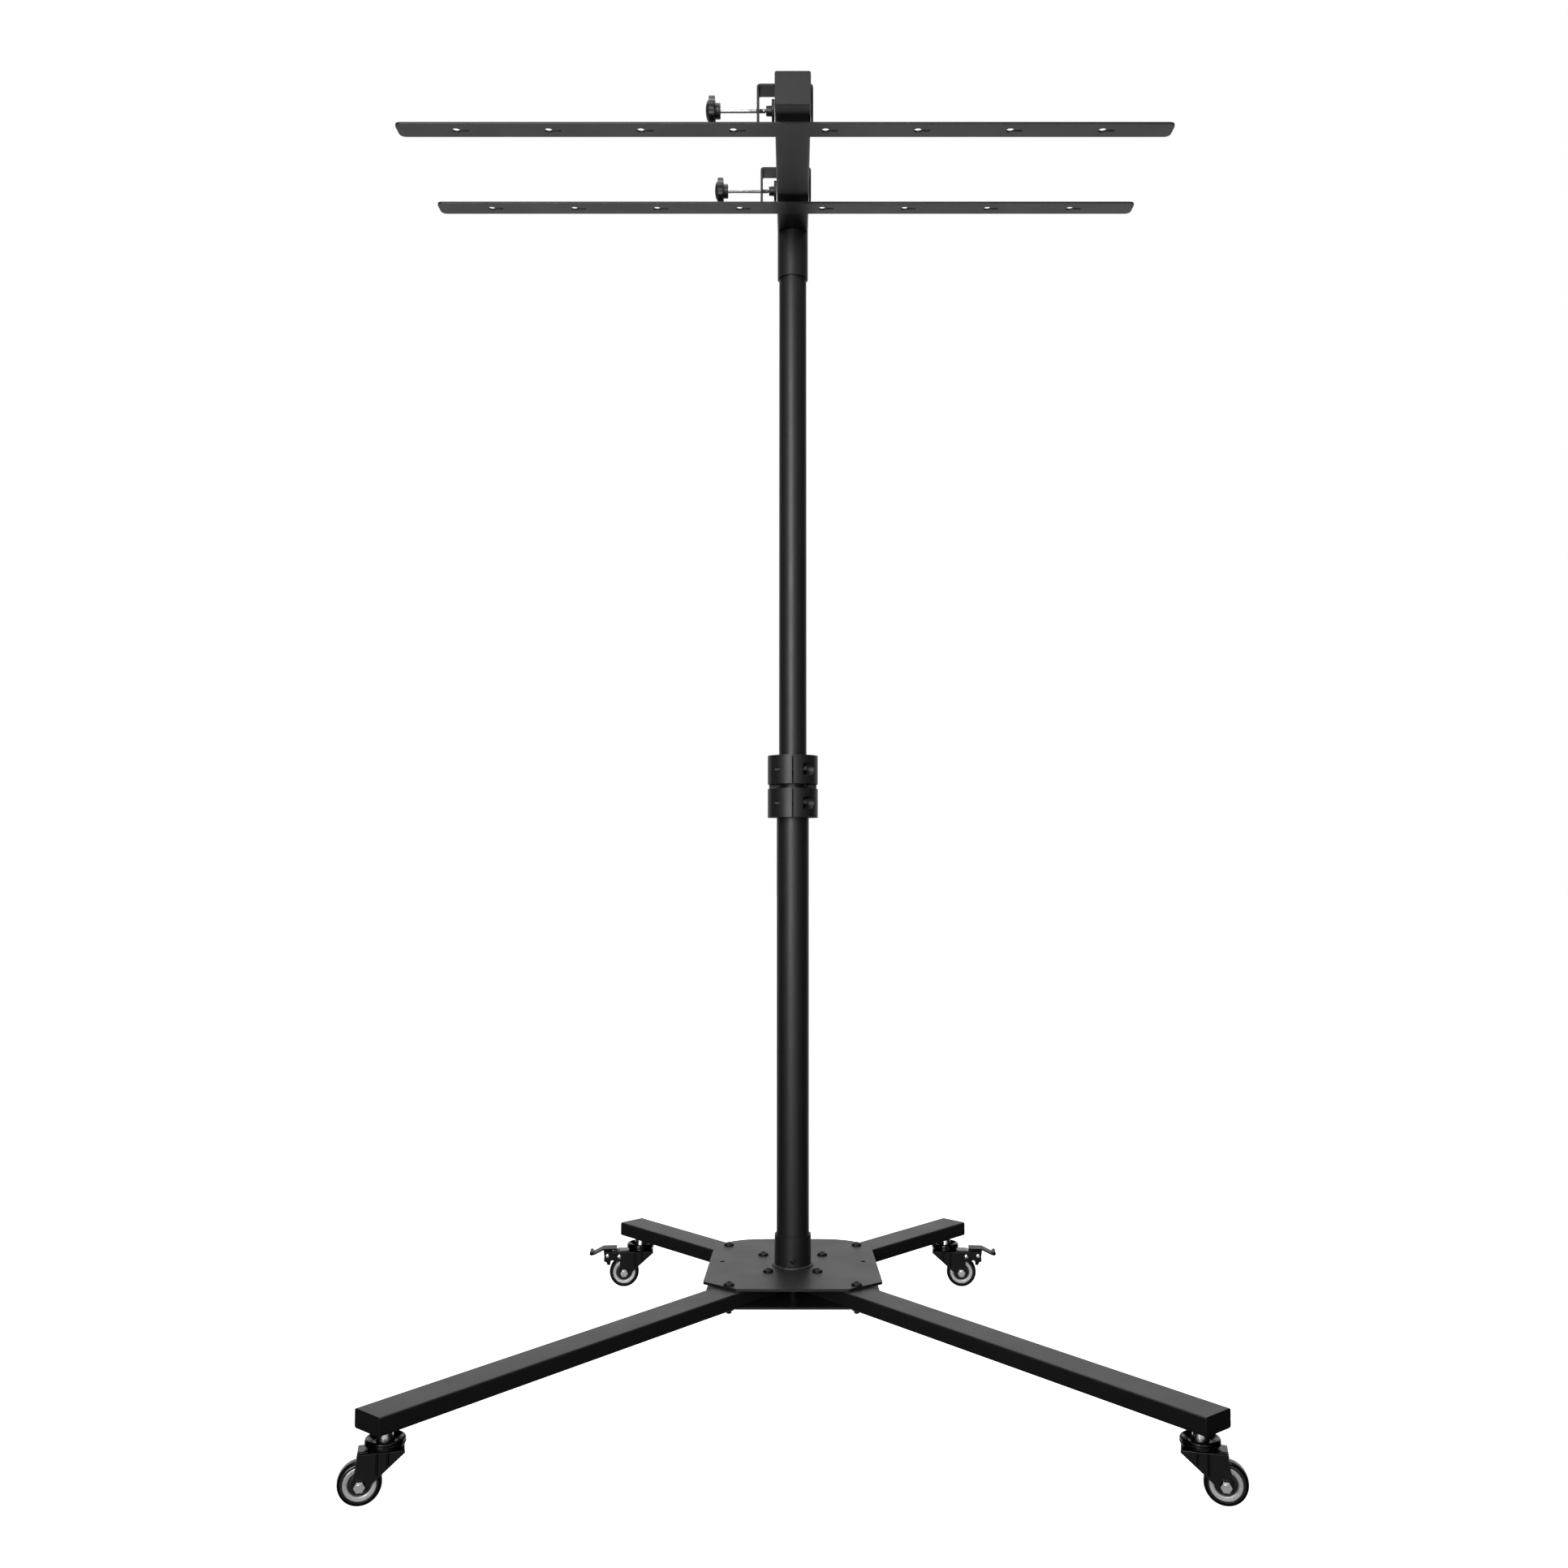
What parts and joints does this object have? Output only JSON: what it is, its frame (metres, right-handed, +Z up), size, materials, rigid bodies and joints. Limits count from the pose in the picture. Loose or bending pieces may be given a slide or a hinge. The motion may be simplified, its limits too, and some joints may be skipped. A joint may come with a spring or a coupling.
{
  "type": "rolling crossbar stand",
  "caption": "Rolling stand: X base on swivel casters, telescopic pole with a split clamp, and a square arm with sliding keyhole crossbars.",
  "frame": {"origin": "middle of the bounding box in plan, at floor level under the wheels", "axes": "+Z up the pole; the arm points to -Y; +X along the crossbars, away from the clamp knobs"},
  "size_m": [1.0506, 0.9138, 1.7715],
  "materials": {
    "black_powder_coat": "fine-texture black powder coat on steel",
    "gloss_black_steel": "gloss black lacquer on pressed steel",
    "zinc_steel": "bright zinc plating",
    "dark_steel": "black oxide",
    "black_plastic": "moulded black nylon, satin",
    "wheel_core_plastic": "black plastic core with a satin metal ring",
    "tyre_black": "smooth glossy black tread"
  },
  "bodies": {
    "base": {"base_plate_top": "black_powder_coat", "base_plate_bottom": "black_powder_coat", "pole_socket": "black_powder_coat", "socket_set_screw": "dark_steel", "leg_front_left": "black_powder_coat", "leg_front_right": "black_powder_coat", "leg_rear_left": "black_powder_coat", "leg_rear_right": "black_powder_coat", "leg_bolt_front_outer_left": "dark_steel", "leg_bolt_front_inner_left": "dark_steel", "leg_bolt_rear_outer_left": "dark_steel", "leg_bolt_rear_inner_left": "dark_steel", "leg_bolt_front_outer_right": "dark_steel", "leg_bolt_front_inner_right": "dark_steel", "leg_bolt_rear_outer_right": "dark_steel", "leg_bolt_rear_inner_right": "dark_steel", "lower_tube": "black_powder_coat", "height_clamp": "black_powder_coat", "clamp_screw_lower": "dark_steel", "clamp_screw_upper": "dark_steel", "guide_bush": "black_plastic", "caster_stem_front_left": "zinc_steel", "caster_stem_front_right": "zinc_steel", "caster_stem_rear_left": "zinc_steel", "caster_stem_rear_right": "zinc_steel"},
    "mast": {"upper_tube": "black_powder_coat", "slide_foot": "black_plastic"},
    "head": {"head_sleeve": "black_powder_coat", "arm": "black_powder_coat", "arm_end_cap": "black_powder_coat"},
    "upper_bracket": {"upper_crossbar": "black_powder_coat", "upper_strap": "black_powder_coat"},
    "upper_pad": {"upper_swivel_pad": "black_plastic"},
    "upper_screw": {"upper_clamp_screw": "zinc_steel", "upper_star_knob": "black_plastic"},
    "lower_bracket": {"lower_crossbar": "black_powder_coat", "lower_strap": "black_powder_coat"},
    "lower_pad": {"lower_swivel_pad": "black_plastic"},
    "lower_screw": {"lower_clamp_screw": "zinc_steel", "lower_star_knob": "black_plastic"},
    "fork_front_left": {"caster_fork_front_left": "gloss_black_steel", "caster_axle_front_left": "zinc_steel"},
    "wheel_front_left": {"wheel_core_front_left": "wheel_core_plastic", "wheel_tyre_front_left": "tyre_black"},
    "fork_front_right": {"caster_fork_front_right": "gloss_black_steel", "caster_axle_front_right": "zinc_steel"},
    "wheel_front_right": {"wheel_core_front_right": "wheel_core_plastic", "wheel_tyre_front_right": "tyre_black"},
    "fork_rear_left": {"caster_fork_rear_left": "gloss_black_steel", "caster_axle_rear_left": "zinc_steel", "brake_pin_left": "zinc_steel"},
    "wheel_rear_left": {"wheel_core_rear_left": "wheel_core_plastic", "wheel_tyre_rear_left": "tyre_black"},
    "pedal_left": {"brake_pedal_left": "gloss_black_steel"},
    "fork_rear_right": {"caster_fork_rear_right": "gloss_black_steel", "caster_axle_rear_right": "zinc_steel", "brake_pin_right": "zinc_steel"},
    "wheel_rear_right": {"wheel_core_rear_right": "wheel_core_plastic", "wheel_tyre_rear_right": "tyre_black"},
    "pedal_right": {"brake_pedal_right": "gloss_black_steel"}
  },
  "joints": [
    {"name": "height_slide", "type": "slide", "parent": "base", "child": "mast", "axis": [0, 0, 1], "range_m": [-0.41, 0.2]},
    {"name": "head_swivel", "type": "hinge", "parent": "mast", "child": "head", "pos_m": [0.01017, 0.14556, 1.68], "axis": [0, 0, 1], "continuous": true},
    {"name": "upper_bar_slide", "type": "slide", "parent": "head", "child": "upper_bracket", "axis": [0, 1, 0], "range_m": [-0.036, 0.09]},
    {"name": "lower_bar_slide", "type": "slide", "parent": "head", "child": "lower_bracket", "axis": [0, 1, 0], "range_m": [-0.09, 0.06]},
    {"name": "upper_pad_slide", "type": "slide", "parent": "upper_bracket", "child": "upper_pad", "axis": [1, 0, 0], "range_m": [-0.00625, 0]},
    {"name": "upper_clamp_turn", "type": "hinge", "parent": "upper_pad", "child": "upper_screw", "pos_m": [-0.09933, -0.19894, 1.741], "axis": [1, 0, 0], "range_deg": [-1801, 0]},
    {"name": "lower_pad_slide", "type": "slide", "parent": "lower_bracket", "child": "lower_pad", "axis": [1, 0, 0], "range_m": [-0.00625, 0]},
    {"name": "lower_clamp_turn", "type": "hinge", "parent": "lower_pad", "child": "lower_screw", "pos_m": [-0.09933, 0.03506, 1.741], "axis": [1, 0, 0], "range_deg": [-1801, 0]},
    {"name": "swivel_front_left", "type": "hinge", "parent": "base", "child": "fork_front_left", "pos_m": [-0.45311, -0.42247, 0.07], "axis": [0, 0, 1], "continuous": true},
    {"name": "spin_front_left", "type": "hinge", "parent": "fork_front_left", "child": "wheel_front_left", "pos_m": [-0.47967, -0.42959, 0.025], "axis": [0.2588, -0.9659, 0], "continuous": true},
    {"name": "swivel_front_right", "type": "hinge", "parent": "base", "child": "fork_front_right", "pos_m": [0.47345, -0.42247, 0.07], "axis": [0, 0, 1], "continuous": true},
    {"name": "spin_front_right", "type": "hinge", "parent": "fork_front_right", "child": "wheel_front_right", "pos_m": [0.50001, -0.42959, 0.025], "axis": [0.2588, 0.9659, 0], "continuous": true},
    {"name": "swivel_rear_left", "type": "hinge", "parent": "base", "child": "fork_rear_left", "pos_m": [-0.25161, 0.42239, 0.07], "axis": [0, 0, 1], "continuous": true},
    {"name": "spin_rear_left", "type": "hinge", "parent": "fork_rear_left", "child": "wheel_rear_left", "pos_m": [-0.27901, 0.41999, 0.025], "axis": [0.0872, -0.9962, 0], "continuous": true},
    {"name": "brake_left", "type": "hinge", "parent": "fork_rear_left", "child": "pedal_left", "pos_m": [-0.3073, 0.41751, 0.0534], "axis": [0.0872, -0.9962, 0], "range_deg": [0, 12]},
    {"name": "swivel_rear_right", "type": "hinge", "parent": "base", "child": "fork_rear_right", "pos_m": [0.27195, 0.42239, 0.07], "axis": [0, 0, 1], "continuous": true},
    {"name": "spin_rear_right", "type": "hinge", "parent": "fork_rear_right", "child": "wheel_rear_right", "pos_m": [0.29935, 0.41999, 0.025], "axis": [0.0872, 0.9962, 0], "continuous": true},
    {"name": "brake_right", "type": "hinge", "parent": "fork_rear_right", "child": "pedal_right", "pos_m": [0.32764, 0.41751, 0.0534], "axis": [0.0872, 0.9962, 0], "range_deg": [0, 12]}
  ],
  "couplings": [
    {"joint": "upper_clamp_turn", "follows": "upper_pad_slide", "rad_per_m": 5026.5},
    {"joint": "lower_clamp_turn", "follows": "lower_pad_slide", "rad_per_m": 5026.5}
  ]
}
